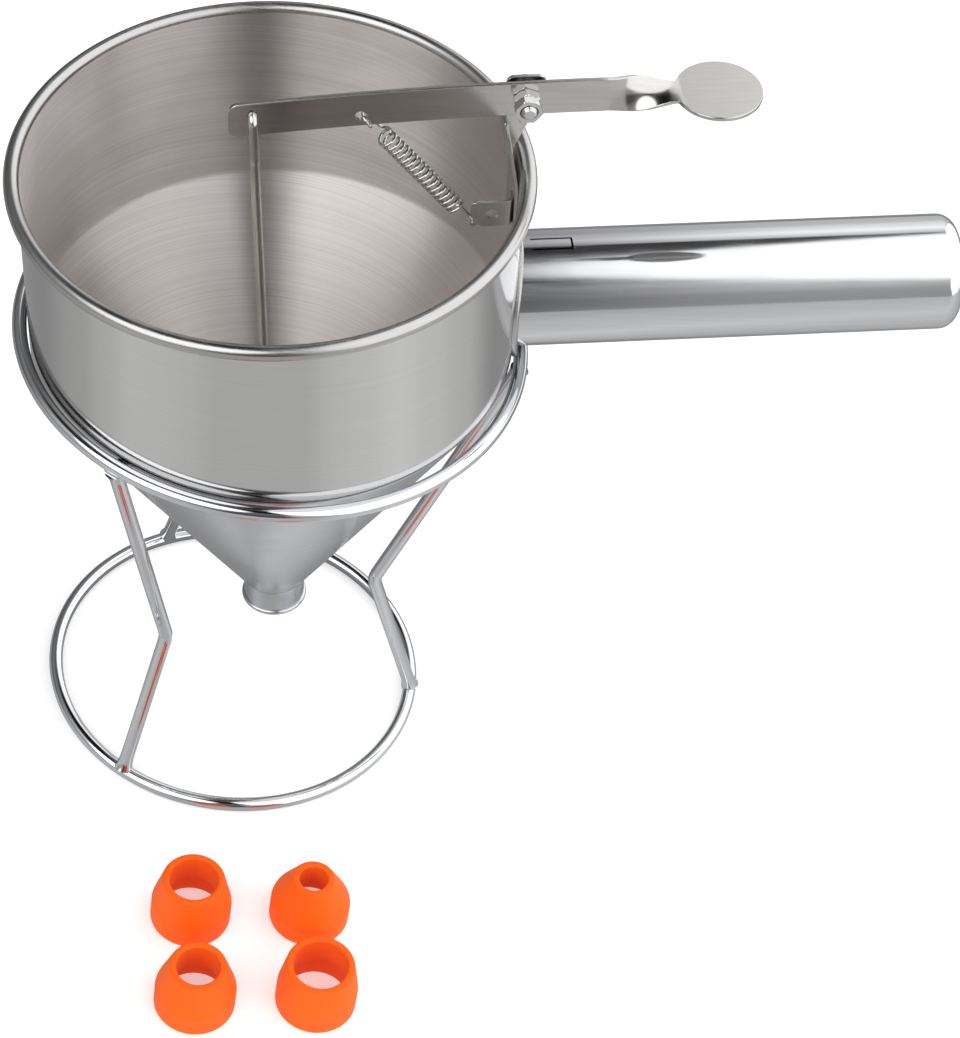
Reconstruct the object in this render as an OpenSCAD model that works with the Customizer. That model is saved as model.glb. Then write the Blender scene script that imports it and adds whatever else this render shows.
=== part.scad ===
// Batter dispenser: a funnel with a lever valve, resting in a wire stand,
// with four push-on nozzles set out on the table in front of it.
// Millimetres, Z up. The handle points along +X, the stand's axis meets the table at the origin.

/* [Stand] */
// Wire diameter of the rings and legs
wire_d = 5; // [4:0.5:6]
// Height of the top ring's centre line
ring_z = 178; // [165:1:190]
// Radial gap between the bowl and the top ring
ring_gap = 0.8; // [0.7:0.1:1.6]
// Radius of the base ring's centre line
base_ring_r = 67; // [60:1:76]
// Distance of the knees from the stand's axis
knee_r = 47; // [45:1:52]
// Height of the knees
knee_z = 61; // [50:1:70]
// Bend radius of a knee's centre line
knee_bend_r = 9; // [7:1:12]
// Direction of the first leg, counted from the handle
first_leg_turn = -10; // [-20:1:0]

/* [Bowl] */
// Outer diameter over the wired rim
rim_d = 170; // [160:1:180]
// Thickness of the wired rim
rim_roll_d = 5; // [4:0.5:6]
// Thickness of the bowl and cone sheet
sheet = 1; // [0.8:0.1:1.2]
// How far the shoulder hangs below the top ring beside the lowest leg
shoulder_hang = 4; // [3:0.1:4.2]
// Outer radius of the bend between wall and cone
shoulder_r = 5; // [3:0.5:8]
// Height of the cone below the wall
cone_h = 124.5; // [115:0.5:130]
// Angle at which the funnel leans in the stand, handle side up
seat_lean = 5; // [3:0.5:6]
// Gap left where the handle rests on the ring
seat_gap = 0.3; // [0.2:0.1:0.5]

/* [Spout] */
// Outer diameter of the spout tube
spout_d = 22; // [20:0.5:24]
// Length of the spout tube
spout_len = 11; // [9:0.5:15]
// How far the spout's lip stands out
lip_out = 0.8; // [0.5:0.1:1.2]
// Height of the lip
lip_h = 2; // [1.5:0.1:3]
// Chamfer on both edges of the lip
lip_chamfer = 0.4; // [0.2:0.1:0.6]

/* [Handle] */
// Outer diameter of the handle tube
handle_d = 39; // [34:0.5:42]
// Wall of the handle tube
handle_wall = 1.2; // [1:0.1:1.6]
// Depth of the handle's axis below the rim
handle_drop = 58; // [54:0.5:62]
// Distance from the funnel's axis to the handle's end
handle_reach = 231; // [200:1:250]
// Rounding of the handle's closed end
handle_end_r = 6; // [3:0.5:9]
// Diameter of the mounting flange behind the tube
flange_d = 46; // [43:0.5:50]
// Thickness of the mounting flange
flange_t = 1.5; // [1:0.1:2]
// Length of the lanced tongue on top of the tube
tongue_l = 17; // [12:1:22]
// Width of the lanced tongue
tongue_w = 5; // [4:0.5:8]
// Width of the slit round the tongue
tongue_slit = 0.7; // [0.5:0.1:1]

/* [Lever] */
// Width of the lever strip
lever_w = 12.8; // [11:0.1:14]
// Thickness of the lever strip
lever_t = 1.5; // [1.2:0.1:2]
// Height of the strip's crest above the rim
lever_z = 27; // [25:0.5:30]
// Radius of the strip's slight bow
lever_bow_r = 1330; // [1000:10:4000]
// Distance of the crest outward from the pivot
crest_out = 30; // [20:1:35]
// Place of the rod hole, counted from the funnel's axis
rod_hole_x = -6; // [-9:0.5:0]
// Height of the rod hole above the strip's middle
rod_hole_rise = 1.8; // [1:0.1:2.5]
// Strip left beyond the rod hole
strip_end = 7.5; // [6:0.5:10]
// Place of the spring hole, counted from the funnel's axis
spring_hole_x = 28; // [22:1:34]
// Depth of the spring hole below the strip's middle
spring_hole_drop = 2.4; // [1.5:0.1:3]
// Diameter of the spring hole
spring_hole_d = 3.8; // [3.4:0.1:4.2]
// Distance from the pivot to the start of the twist
twist_out = 25; // [20:1:30]
// Length of the twist
twist_l = 24; // [20:1:30]
// Width of the neck between twist and thumb pad
neck_w = 9; // [7:0.5:12]
// Distance from the pivot to the middle of the thumb pad
pad_out = 61; // [60:1:70]
// Diameter of the thumb pad
pad_d = 28; // [24:0.5:32]

/* [Pivot] */
// Diameter of the pivot bolt
bolt_d = 5; // [4:0.5:6]
// Radial running clearance of the lever on the bolt
bolt_fit = 0.06; // [0.03:0.01:0.09]
// Side play of the lever between washer and nut
side_play = 0.15; // [0.1:0.05:0.3]
// Width across the flats of both nuts and the bolt's head
hex_af = 8; // [8:0.5:10]
// Height of one nut
nut_h = 3.2; // [2.8:0.1:4]
// Height of the bolt's head
head_h = 3.5; // [3:0.5:4]
// Bolt length left beyond the outer nut
bolt_end = 1.2; // [1:0.1:3]
// Outer diameter of the washer
washer_d = 10; // [9:0.5:12]
// Thickness of the washer
washer_t = 0.8; // [0.6:0.1:1.2]

/* [Bracket] */
// Sheet thickness of the bracket
bracket_t = 1.2; // [1:0.1:1.5]
// Width of the plate on the bowl's wall
bracket_w = 13; // [11:0.5:16]
// Depth of the plate's lower edge below the rim
bracket_low = 30; // [28:0.5:36]
// Depth below the rim at which the plate leaves the wall
bracket_bend = 13; // [11:0.5:15]
// Height of the plate's top above the rim
plate_rise = 15; // [13:0.5:17]
// Angle at which the plate leans away from the wall
bracket_lean = 10; // [7:0.5:12]
// Width of the ear at its top
ear_w = 13; // [11:0.5:15]
// Height of the ear above the pivot
ear_rise = 7; // [6:0.5:9]
// Reach of the spring tab from the plate
tab_reach = 14; // [12:0.5:16]
// Height of the spring tab
tab_h = 10.5; // [9:0.5:12]
// Diameter of the spare hole in the tab
tab_hole_d = 4.3; // [3.5:0.1:4.5]

/* [Valve] */
// Diameter of the valve rod
rod_d = 3.2; // [2.8:0.1:3.4]
// Radial play of the rod's hook in the lever
hook_play = 0.25; // [0.2:0.05:0.4]
// Bend radius of the hook's centre line
hook_bend_r = 2.4; // [2.2:0.1:3]
// Length of the hook's folded limb below the hole
hook_limb = 18; // [12:1:22]
// Diameter of the stopper ball
stopper_d = 25; // [23:0.5:27]
// Gap between the closed stopper and the cone
stopper_gap = 0.3; // [0.2:0.1:0.4]
// Height of the stopper above its middle, where it is cut flat
stopper_top = 5; // [3:0.5:8]
// Diameter of the washer on top of the stopper
stop_washer_d = 12; // [9:0.5:14]
// Thickness of that washer
stop_washer_t = 1; // [0.8:0.1:1.5]
// Width across the flats of the stopper's nut
stop_nut_af = 5.5; // [5.5:0.5:7]
// Height of the stopper's nut
stop_nut_h = 2.4; // [2:0.1:3]

/* [Spring] */
// Outer diameter of the spring
spring_d = 6.5; // [6:0.1:7]
// Wire diameter of the spring
spring_wire = 1; // [0.8:0.1:1.1]
// Length of the coiled part
coil_l = 40; // [38:0.5:42]

/* [Nozzles] */
// Diameter of a nozzle's base
nozzle_d = 28.2; // [27:0.2:30]
// Height of a nozzle
nozzle_h = 21.5; // [20:0.5:26]
// Height of the straight base
nozzle_base_h = 9; // [7:0.5:11]
// Height of the socket that grips the spout
socket_h = 10; // [8:0.5:12]
// Amount by which the socket is smaller than the spout's lip
socket_grip = 0.6; // [0:0.1:1]
// Wall left at a nozzle's mouth
mouth_wall = 2.4; // [1.8:0.1:3]
// Distance between the left and right nozzles
nozzle_pitch_x = 42; // [36:1:50]
// Distance between the rear and front nozzles
nozzle_pitch_y = 36; // [34:1:44]
// Distance of the nozzles' middle in front of the stand's axis
nozzle_front = 131.5; // [125:0.5:150]

/* [Hidden] */
$fn = 96;
round_fn = 32;
wire_fn = 24;
leg_sides = 16;
seam = 0.05;                      // fit of pieces that are welded or clamped face to face
weld_in = 0.9;                    // how far a leg's end runs into the ring
weld_depth = wire_d / 2 - weld_in;

// Bowl and ring
wall_in = rim_d / 2 - rim_roll_d;
wall_out = wall_in + sheet;
ring_r = wall_out + ring_gap + wire_d / 2;
// The handle tube rests on the ring, which sets how deep the funnel sits
ring_depth = handle_drop + handle_d / 2 + wire_d / 2 + seat_gap - ring_r * sin(seat_lean);
// The leg farthest from the handle is the lowest place under the shoulder
low_leg_turn = 180 - abs(first_leg_turn + 240 - 180);
shoulder_fall = -wall_out * sin(seat_lean) * cos(low_leg_turn);
bowl_depth = ring_depth + (shoulder_hang - shoulder_fall) / cos(seat_lean);
spout_r = spout_d / 2;
cone_end = bowl_depth + cone_h;
cone_half = atan((wall_out - spout_r) / cone_h);
wall_end = bowl_depth - shoulder_r * tan(cone_half / 2);
spout_end = cone_end + spout_len;
cone_sheet = sheet / cos(cone_half);      // the cone's sheet measured level

// Lever and pivot
pivot_x = wall_in;
crest_x = pivot_x + crest_out;
function strip_z(x) = lever_z - pow(x - crest_x, 2) / (2 * lever_bow_r);
pivot_z = strip_z(pivot_x);
ear_y = -bracket_t;
lever_y = ear_y - washer_t - side_play - lever_t / 2;
nut_y = lever_y - lever_t / 2 - side_play;
rod_hole_z = strip_z(rod_hole_x) + rod_hole_rise;
spring_hole_z = strip_z(spring_hole_x) - spring_hole_drop;
twist_x = pivot_x + twist_out;
pad_x = pivot_x + pad_out;
twist_steps = 12;

// Bracket: its front edge lies in the ear's plane, its back touches the wall
seat_x = sqrt(pow(wall_in, 2) - pow(bracket_w / 2, 2)) - seam;
bracket_turn = asin((bracket_w / 2 - bracket_t) / (seat_x - bracket_t));
edge_x = (seat_x - bracket_t) * cos(bracket_turn) + bracket_w / 2 * sin(bracket_turn);
ear_top = pivot_z + ear_rise;
function plate_x(z) = edge_x - max(0, z + bracket_bend) * tan(bracket_lean);
tab_top = -bracket_low + tab_h + bracket_t;
tab_low = -bracket_low + bracket_t;
tab_left = edge_x - tab_reach;
notch_in = 2.4;                   // from the tab's free end to the notch
notch_x = tab_left + notch_in;
tab_corner = 2;

// Valve: the rod leans a little, from the spout's middle to the lever's hole
contact_r = stopper_d / 2 * cos(cone_half);
contact_depth = cone_end - (contact_r - (spout_r - cone_sheet)) / tan(cone_half);
stopper_z = -contact_depth + stopper_d / 2 * sin(cone_half) + stopper_gap / sin(cone_half);
rod_rise = rod_hole_z - stopper_z;
rod_lean = atan(rod_hole_x / rod_rise);
rod_l = sqrt(pow(rod_hole_x, 2) + pow(rod_rise, 2));
hook_y = 2 * lever_y;
stop_flat = 1.6;                          // cut off the ball's foot, where its nut sits
stop_seat = stopper_d / 2 - stop_flat;

// Spring: from the lever's hole to the notch in the tab. Its wire stays clear of the lever's back
// and lies against the front of the tab.
wire_r = spring_wire / 2;
hole_play = 0.3;
spring_a = [spring_hole_x, spring_hole_z];
spring_b = [notch_x, tab_low];
spring_way = (spring_b - spring_a) / norm(spring_b - spring_a);
hook_bite = spring_hole_d / 2 - wire_r - hole_play;
spring_l = norm(spring_b - spring_a) - hook_bite;
spring_y = lever_y + lever_t / 2 + hole_play + wire_r;
spring_side = ear_y - wire_r - seam - spring_y;
spring_lean = atan2(spring_way[0], -spring_way[1]);
coil_top = (spring_l - coil_l) / 2;
hook_bend_in = 0.8;
hook_out = 3.4;
hook_back = 2.4;
spring_sides = 16;

// Puts what is drawn round the funnel's own axis, with the rim at height 0, into the stand
module seated() {
    translate([0, 0, ring_z]) rotate([0, -seat_lean, 0]) translate([0, 0, ring_depth]) children();
}

// ---- Stand ----

module wire_ring(r, z) {
    translate([0, 0, z]) rotate_extrude() translate([r, 0]) circle(d = wire_d, $fn = wire_fn);
}

// A ring of points square to a centre line, at its point i. The radius is one number or a list.
function tube_ring(line, i, r, sides) = let(
        last = len(line) - 1,
        reach = is_list(r) ? r[i] : r,
        way = line[min(i + 1, last)] - line[max(i - 1, 0)],
        t = way / norm(way),
        side0 = cross(t, abs(t[0]) < 0.9 ? [1, 0, 0] : [0, 0, 1]),
        side = side0 / norm(side0),
        up = cross(t, side))
    [for (k = [0 : sides - 1]) line[i]
        + reach * (cos(360 * k / sides) * side + sin(360 * k / sides) * up)];

// One unbroken round wire along a centre line
module tube(line, r, sides) {
    n = len(line);
    polyhedron(
        points = [for (i = [0 : n - 1]) each tube_ring(line, i, r, sides)],
        faces = concat(
            [for (k = [1 : sides - 2]) [0, k, k + 1]],
            [for (i = [0 : n - 2], k = [0 : sides - 1]) let(
                    a = sides * i + k, b = sides * i + (k + 1) % sides)
                each [[a, a + sides, b], [b, a + sides, b + sides]]],
            [let(e = sides * (n - 1)) for (k = [1 : sides - 2]) each [[e, e + k + 1, e + k]]]));
}

// A leg: down and in from the top ring, kneed, then down and out to the base ring.
// Both ends are welded into the rings.
module stand_leg(turn) {
    top = [ring_r, ring_z - weld_depth];
    knee = [knee_r, knee_z];
    foot = [base_ring_r, wire_d / 2 + weld_depth];
    down = (knee - top) / norm(knee - top);
    out = (foot - knee) / norm(foot - knee);
    bend = acos(down * out);
    start = knee - down * knee_bend_r * tan(bend / 2);
    centre = start + knee_bend_r * [-down[1], down[0]];
    from = atan2(start[1] - centre[1], start[0] - centre[0]);
    steps = 6;
    color("silver") rotate([0, 0, turn]) tube(concat(
        [[top[0], 0, top[1]]],
        [for (i = [0 : steps]) let(a = from + bend * i / steps)
            [centre[0] + knee_bend_r * cos(a), 0, centre[1] + knee_bend_r * sin(a)]],
        [[foot[0], 0, foot[1]]]), wire_d / 2, leg_sides);
}

module stand_top_ring() {
    color("silver") wire_ring(ring_r, ring_z);
}

module stand_base_ring() {
    color("silver") wire_ring(base_ring_r, wire_d / 2);
}

// ---- Funnel ----

module bowl_wall() {
    color("lightgray") seated() rotate_extrude() {
        translate([wall_in, -wall_end]) square([sheet, wall_end - rim_roll_d / 2]);
        translate([wall_in + rim_roll_d / 2, -rim_roll_d / 2]) circle(d = rim_roll_d, $fn = round_fn);
    }
}

// Points along the bend between wall and cone, at a distance from the bend's centre
function shoulder_arc(r, steps = 8) = [for (i = [0 : steps])
    [wall_out - shoulder_r + r * cos(cone_half * i / steps), -wall_end - r * sin(cone_half * i / steps)]];

module funnel_cone() {
    outer = shoulder_arc(shoulder_r);
    inner = shoulder_arc(shoulder_r - sheet);
    tip = [[spout_r, -cone_end], [spout_r - cone_sheet, -cone_end]];
    color("gainsboro") seated() rotate_extrude()
        polygon(concat(outer, tip, [for (i = [len(inner) - 1 : -1 : 0]) inner[i]]));
}

module spout_collar() {
    color("gainsboro") seated() rotate_extrude() translate([spout_r, -spout_end]) polygon([
        [-sheet, 0], [lip_out - lip_chamfer, 0], [lip_out, lip_chamfer],
        [lip_out, lip_h - lip_chamfer], [lip_out - lip_chamfer, lip_h], [0, lip_h],
        [0, spout_len], [-sheet, spout_len]]);
}

// Something drawn up +Z, laid along the handle
module along_handle() {
    translate([0, 0, -handle_drop]) rotate([0, 90, 0]) children();
}

module handle_flange() {
    back = wall_out + seam;
    low = handle_drop + handle_d / 2;
    color("silver") seated() intersection() {
        difference() {
            translate([0, 0, -low]) cylinder(r = back + flange_t, h = low);
            translate([0, 0, -low - 1]) cylinder(r = back, h = low + 2);
        }
        along_handle() cylinder(d = flange_d, h = rim_d);
    }
}

module handle_tube() {
    start = wall_out + seam + flange_t + seam;
    slit_x = start + 3;
    color("silver") seated() difference() {
        along_handle() difference() {
            cylinder(d = handle_d, h = handle_reach - handle_end_r);
            translate([0, 0, -1])
                cylinder(d = handle_d - 2 * handle_wall, h = handle_reach);
        }
        translate([0, 0, -handle_drop - handle_d]) cylinder(r = start, h = 2 * handle_d);
        translate([0, 0, -handle_drop + handle_d / 4]) {
            for (side = [-1, 1])
                translate([slit_x, side * tongue_w / 2 - tongue_slit / 2, 0])
                    cube([tongue_l - 3, tongue_slit, handle_d]);
            translate([start + tongue_l - tongue_slit, -tongue_w / 2, 0])
                cube([tongue_slit, tongue_w, handle_d]);
        }
    }
}

module handle_end_cap() {
    color("silver") seated() along_handle() translate([0, 0, handle_reach - handle_end_r])
        rotate_extrude() difference() {
            union() {
                square([handle_d / 2 - handle_end_r, handle_end_r]);
                translate([handle_d / 2 - handle_end_r, 0]) intersection() {
                    circle(r = handle_end_r);
                    square(handle_end_r);
                }
            }
            square([handle_d / 2 - handle_end_r, handle_end_r - handle_wall]);
            translate([handle_d / 2 - handle_end_r, 0]) circle(r = handle_end_r - handle_wall);
        }
}

// ---- Bracket and pivot ----

// A flat shape drawn in the XZ plane, with its back at y and its thickness toward -Y
module upright(y, t) {
    translate([0, y, 0]) rotate([90, 0, 0]) linear_extrude(t) children();
}

module lever_bracket() {
    lean_in = (plate_rise + bracket_bend) * tan(bracket_lean);
    color("silver") seated() difference() {
        union() {
            // the plate, flat on the wall and then leaning in
            rotate([0, 0, bracket_turn]) translate([0, bracket_w / 2, 0]) upright(0, bracket_w)
                polygon([[seat_x, -bracket_low], [seat_x, -bracket_bend],
                         [seat_x - lean_in, plate_rise], [seat_x - bracket_t - lean_in, plate_rise],
                         [seat_x - bracket_t, -bracket_bend], [seat_x - bracket_t, -bracket_low]]);
            // the ear, bent out over the rim
            upright(0, bracket_t) polygon([
                [plate_x(4) - bracket_t, 4], [plate_x(4) + bracket_t, 4],
                [pivot_x + ear_w / 2 - 3, pivot_z - lever_w / 2],
                [pivot_x + ear_w / 2, ear_top], [pivot_x - ear_w / 2, ear_top]]);
            // the spring tab, bent in from the plate
            upright(0, bracket_t) difference() {
                hull() {
                    for (z = [tab_low + tab_corner, tab_top - tab_corner])
                        translate([tab_left + tab_corner, z]) circle(r = tab_corner, $fn = round_fn);
                    translate([edge_x - tab_corner, tab_low]) square([tab_corner, tab_h]);
                }
                translate([notch_x, tab_low]) circle(d = 2 * spring_wire, $fn = round_fn);
            }
        }
        translate([pivot_x, 1, pivot_z]) rotate([90, 0, 0])
            cylinder(r = bolt_d / 2 + seam, h = 2 * bracket_t + 2, $fn = round_fn);
        translate([tab_left + tab_reach / 2, 1, (tab_low + tab_top) / 2]) rotate([90, 0, 0])
            cylinder(d = tab_hole_d, h = bracket_t + 2, $fn = round_fn);
    }
}

// Draws along the pivot's axis, +Z turned toward -Y
module on_pivot(y) {
    translate([pivot_x, y, pivot_z]) rotate([90, 0, 0]) children();
}

// A hexagon nut or head with its corners turned off
module hexagon(af, h) {
    corner = af / cos(30) / 2;
    intersection() {
        cylinder(r = corner, h = h, $fn = 6);
        union() {
            cylinder(r1 = af / 2, r2 = af / 2 + h / 2, h = h / 2, $fn = round_fn);
            translate([0, 0, h / 2])
                cylinder(r1 = af / 2 + h / 2, r2 = af / 2, h = h / 2, $fn = round_fn);
        }
    }
}

module hex_nut(af, h, bore_d) {
    difference() {
        hexagon(af, h);
        translate([0, 0, -1]) cylinder(d = bore_d + 2 * seam, h = h + 2, $fn = round_fn);
    }
}

module pivot_bolt() {
    shank = -nut_y + 2 * nut_h + 2 * seam + bolt_end;
    color("silver") seated() {
        on_pivot(seam) cylinder(d = bolt_d, h = shank + seam, $fn = round_fn);
        on_pivot(seam + head_h) hexagon(hex_af, head_h);
    }
}

module pivot_washer() {
    color("silver") seated() on_pivot(ear_y) difference() {
        cylinder(d = washer_d, h = washer_t, $fn = round_fn);
        translate([0, 0, -1]) cylinder(d = bolt_d + 2 * bolt_fit, h = washer_t + 2, $fn = round_fn);
    }
}

module pivot_nut() {
    color("silver") seated() on_pivot(nut_y) hex_nut(hex_af, nut_h, bolt_d);
}

module lock_nut() {
    color("silver") seated() on_pivot(nut_y - nut_h - seam)
        rotate([0, 0, 20]) hex_nut(hex_af, nut_h, bolt_d);
}

// ---- Lever ----

// Corners of the twisting strip at a share s of the twist's length
function twist_ring(s) = let(
        w = lever_w + (neck_w - lever_w) * s,
        turn = 90 * (3 * s * s - 2 * s * s * s),
        x = twist_x + twist_l * s)
    [for (c = [[1, 1], [-1, 1], [-1, -1], [1, -1]])
        [x,
         c[0] * w / 2 * sin(turn) - c[1] * lever_t / 2 * cos(turn),
         strip_z(x) + c[0] * w / 2 * cos(turn) + c[1] * lever_t / 2 * sin(turn)]];

module lever_twist() {
    rings = [for (i = [0 : twist_steps]) twist_ring(i / twist_steps)];
    polyhedron(
        points = [for (ring = rings) each ring],
        faces = concat(
            [[0, 1, 2], [0, 2, 3]],
            [let(e = 4 * twist_steps) each [[e, e + 2, e + 1], [e, e + 3, e + 2]]],
            [for (i = [0 : twist_steps - 1], k = [0 : 3]) let(
                    a = 4 * i + k, b = 4 * i + (k + 1) % 4)
                each [[a, a + 4, b], [b, a + 4, b + 4]]]));
}

module lever_arm() {
    left = rod_hole_x - strip_end;
    steps = 16;
    corner = 3;
    first = left + corner;
    xs = [for (i = [0 : steps]) first + (twist_x - first) * i / steps];
    color("darkgray") seated() difference() {
        union() {
            upright(lever_y + lever_t / 2, lever_t) polygon(concat(
                [for (x = xs) [x, strip_z(x) - lever_w / 2]],
                [for (i = [steps : -1 : 1]) [xs[i], strip_z(xs[i]) + lever_w / 2]],
                [for (a = [90 : 15 : 180])
                    [first + corner * cos(a), strip_z(first) + lever_w / 2 - corner + corner * sin(a)]],
                [for (a = [180 : 15 : 255])
                    [first + corner * cos(a), strip_z(first) - lever_w / 2 + corner + corner * sin(a)]]));
            translate([0, lever_y, 0]) lever_twist();
            // the neck and the round pad, flat and level
            translate([twist_x + twist_l, lever_y - neck_w / 2, strip_z(pad_x) - lever_t / 2])
                cube([pad_out - twist_out - twist_l, neck_w, lever_t]);
            translate([pad_x, lever_y, strip_z(pad_x) - lever_t / 2]) cylinder(d = pad_d, h = lever_t);
        }
        translate([pivot_x, 0, pivot_z]) rotate([90, 0, 0])
            cylinder(r = bolt_d / 2 + bolt_fit, h = -2 * lever_y, $fn = round_fn);
        translate([rod_hole_x, 0, rod_hole_z]) rotate([90, 0, 0])
            cylinder(r = rod_d / 2 + hook_play, h = -2 * lever_y, $fn = round_fn);
        translate([spring_hole_x, 0, spring_hole_z]) rotate([90, 0, 0])
            cylinder(d = spring_hole_d, h = -2 * lever_y, $fn = round_fn);
    }
}

// ---- Valve ----

// Draws from the middle of the stopper up along the rod
module on_rod() {
    seated() translate([0, 0, stopper_z]) rotate([0, rod_lean, 0]) children();
}

module valve_rod() {
    straight = hook_bend_r - lever_y;
    color("silver") on_rod() {
        translate([0, 0, -stop_seat - stop_nut_h - 1])
            cylinder(d = rod_d, h = rod_l - hook_bend_r + stop_seat + stop_nut_h + 1, $fn = wire_fn);
        // up and forward through the lever's hole, then folded down in front of it
        for (fold = [0, 1])
            translate([0, fold * (hook_y + 2 * hook_bend_r) - hook_bend_r, rod_l - hook_bend_r])
                rotate([90, 0, 90]) rotate([0, 0, 90 * fold]) rotate_extrude(angle = 90)
                    translate([hook_bend_r, 0]) circle(d = rod_d, $fn = wire_fn);
        translate([0, -hook_bend_r, rod_l]) rotate([90, 0, 0])
            cylinder(d = rod_d, h = -hook_y - 2 * hook_bend_r, $fn = wire_fn);
        translate([0, hook_y, rod_l - hook_limb])
            cylinder(d = rod_d, h = hook_limb - hook_bend_r, $fn = wire_fn);
    }
}

module valve_stopper() {
    color("whitesmoke") on_rod() difference() {
        sphere(d = stopper_d);
        translate([0, 0, stopper_top]) cylinder(d = 2 * stopper_d, h = stopper_d);
        translate([0, 0, -stop_seat - stopper_d]) cylinder(d = 2 * stopper_d, h = stopper_d);
        translate([0, 0, -stopper_d]) cylinder(r = rod_d / 2 + seam, h = 2 * stopper_d, $fn = round_fn);
    }
}

module stopper_washer() {
    color("silver") on_rod() translate([0, 0, stopper_top + seam]) difference() {
        cylinder(d = stop_washer_d, h = stop_washer_t);
        translate([0, 0, -1]) cylinder(r = rod_d / 2 + seam, h = stop_washer_t + 2, $fn = round_fn);
    }
}

module stopper_nut() {
    color("silver") on_rod() translate([0, 0, -stop_seat - seam - stop_nut_h])
        hex_nut(stop_nut_af, stop_nut_h, rod_d);
}

// ---- Spring ----

// The spring's centre line, from its bent end in the lever's hole to its bent end in the tab's notch.
// Drawn along +Z: [across, sideways, along], where sideways is the lever's own Y.
quarter_bend = [0 : 30 : 90];
spring_line = concat(
    [[0, -hook_out, 0]],
    [for (a = quarter_bend) hook_bend_in * [0, sin(a) - 1, 1 - cos(a)]],
    [[0, 0, coil_top], [0, 0, coil_top + spring_wire]],
    [[0, spring_side, coil_top + coil_l - spring_wire], [0, spring_side, coil_top + coil_l]],
    [for (a = quarter_bend) [0, spring_side, spring_l] + hook_bend_in * [0, 1 - cos(a), sin(a) - 1]],
    [[0, spring_side + hook_back, spring_l]]);

// The coils are one round bar of their outer diameter
spring_radii = [for (p = spring_line)
    p[2] > coil_top && p[2] < coil_top + coil_l ? spring_d / 2 : wire_r];

module return_spring() {
    start = spring_a + hook_bite * spring_way;
    color("silver") seated() translate([start[0], spring_y, start[1]])
        rotate([0, 180 - spring_lean, 0]) tube(spring_line, spring_radii, spring_sides);
}

// ---- Nozzles ----

// A soft push-on nozzle: a socket for the spout below, a round mouth above
module nozzle(mouth_d, column, row) {
    socket_r = spout_r + lip_out - socket_grip;
    top_r = mouth_d / 2 + mouth_wall;
    soft = 1;
    color("darkorange")
        translate([column * nozzle_pitch_x / 2, row * nozzle_pitch_y / 2 - nozzle_front, 0])
            rotate_extrude() polygon([
                [socket_r, 0], [nozzle_d / 2 - soft, 0], [nozzle_d / 2, soft],
                [nozzle_d / 2, nozzle_base_h], [nozzle_d / 2 - soft / 2, nozzle_base_h + 2 * soft],
                [top_r + soft, nozzle_h - 2 * soft], [top_r, nozzle_h - soft / 2],
                [top_r - soft, nozzle_h], [mouth_d / 2, nozzle_h],
                [mouth_d / 2, socket_h + 1], [socket_r, socket_h]]);
}

stand_top_ring();
stand_base_ring();
stand_leg(first_leg_turn);  // stand_leg_right
stand_leg(first_leg_turn + 120);  // stand_leg_back
stand_leg(first_leg_turn + 240);  // stand_leg_left
bowl_wall();
funnel_cone();
spout_collar();
handle_flange();
handle_tube();
handle_end_cap();
lever_bracket();
pivot_bolt();
pivot_washer();
pivot_nut();
lock_nut();
lever_arm();
valve_rod();
stopper_washer();
valve_stopper();
stopper_nut();
return_spring();
nozzle(17, -1, 1);  // nozzle_17mm
nozzle(10, 1, 1);  // nozzle_10mm
nozzle(15, -1, -1);  // nozzle_15mm
nozzle(19, 1, -1);  // nozzle_19mm
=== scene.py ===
"""Batter dispenser: a polished funnel with a lever valve in a chromed wire stand, and four soft nozzles.

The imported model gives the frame. Each section below dresses one piece or a group of like pieces, in the
order in which the object is put together. Sizes are in millimetres, and the mesh maker writes metres.
"""
import math

import bmesh
import bpy
import numpy as np
from mathutils import Euler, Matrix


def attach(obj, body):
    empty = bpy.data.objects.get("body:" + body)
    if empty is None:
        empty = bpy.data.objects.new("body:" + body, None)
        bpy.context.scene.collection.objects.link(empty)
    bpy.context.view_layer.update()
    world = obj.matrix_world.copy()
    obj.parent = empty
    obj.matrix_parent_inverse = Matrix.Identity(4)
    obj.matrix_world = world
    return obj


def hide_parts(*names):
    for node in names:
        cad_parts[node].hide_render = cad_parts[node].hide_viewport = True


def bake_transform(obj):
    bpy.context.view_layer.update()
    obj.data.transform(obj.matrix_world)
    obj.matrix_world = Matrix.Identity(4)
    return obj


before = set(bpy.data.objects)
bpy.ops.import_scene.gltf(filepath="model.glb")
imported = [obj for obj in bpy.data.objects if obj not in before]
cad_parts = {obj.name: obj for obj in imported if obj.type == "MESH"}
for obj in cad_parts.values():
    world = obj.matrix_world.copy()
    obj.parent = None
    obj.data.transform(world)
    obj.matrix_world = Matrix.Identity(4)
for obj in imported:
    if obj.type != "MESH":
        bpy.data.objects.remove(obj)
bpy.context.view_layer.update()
scene = bpy.context.scene
scene.view_settings.view_transform = "Standard"

# ---- Camera ----
# A short telephoto held high in front of the object, a little to its left, looking down by about 48
# degrees.
camera_place = (-0.10007, -0.72579, 0.88084)
camera_turn = (42.572, -6.971, -5.379)
camera_lens = 112.88
camera_shift = (0.0491, 0.0024)

camera = bpy.data.objects.new("camera", bpy.data.cameras.new("camera"))
camera.location = camera_place
camera.rotation_euler = Euler([math.radians(a) for a in camera_turn], "XYZ")
camera.data.sensor_fit = "HORIZONTAL"
camera.data.sensor_width = 36
camera.data.lens = camera_lens
camera.data.shift_x, camera.data.shift_y = camera_shift
scene.collection.objects.link(camera)
scene.camera = camera

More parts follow.
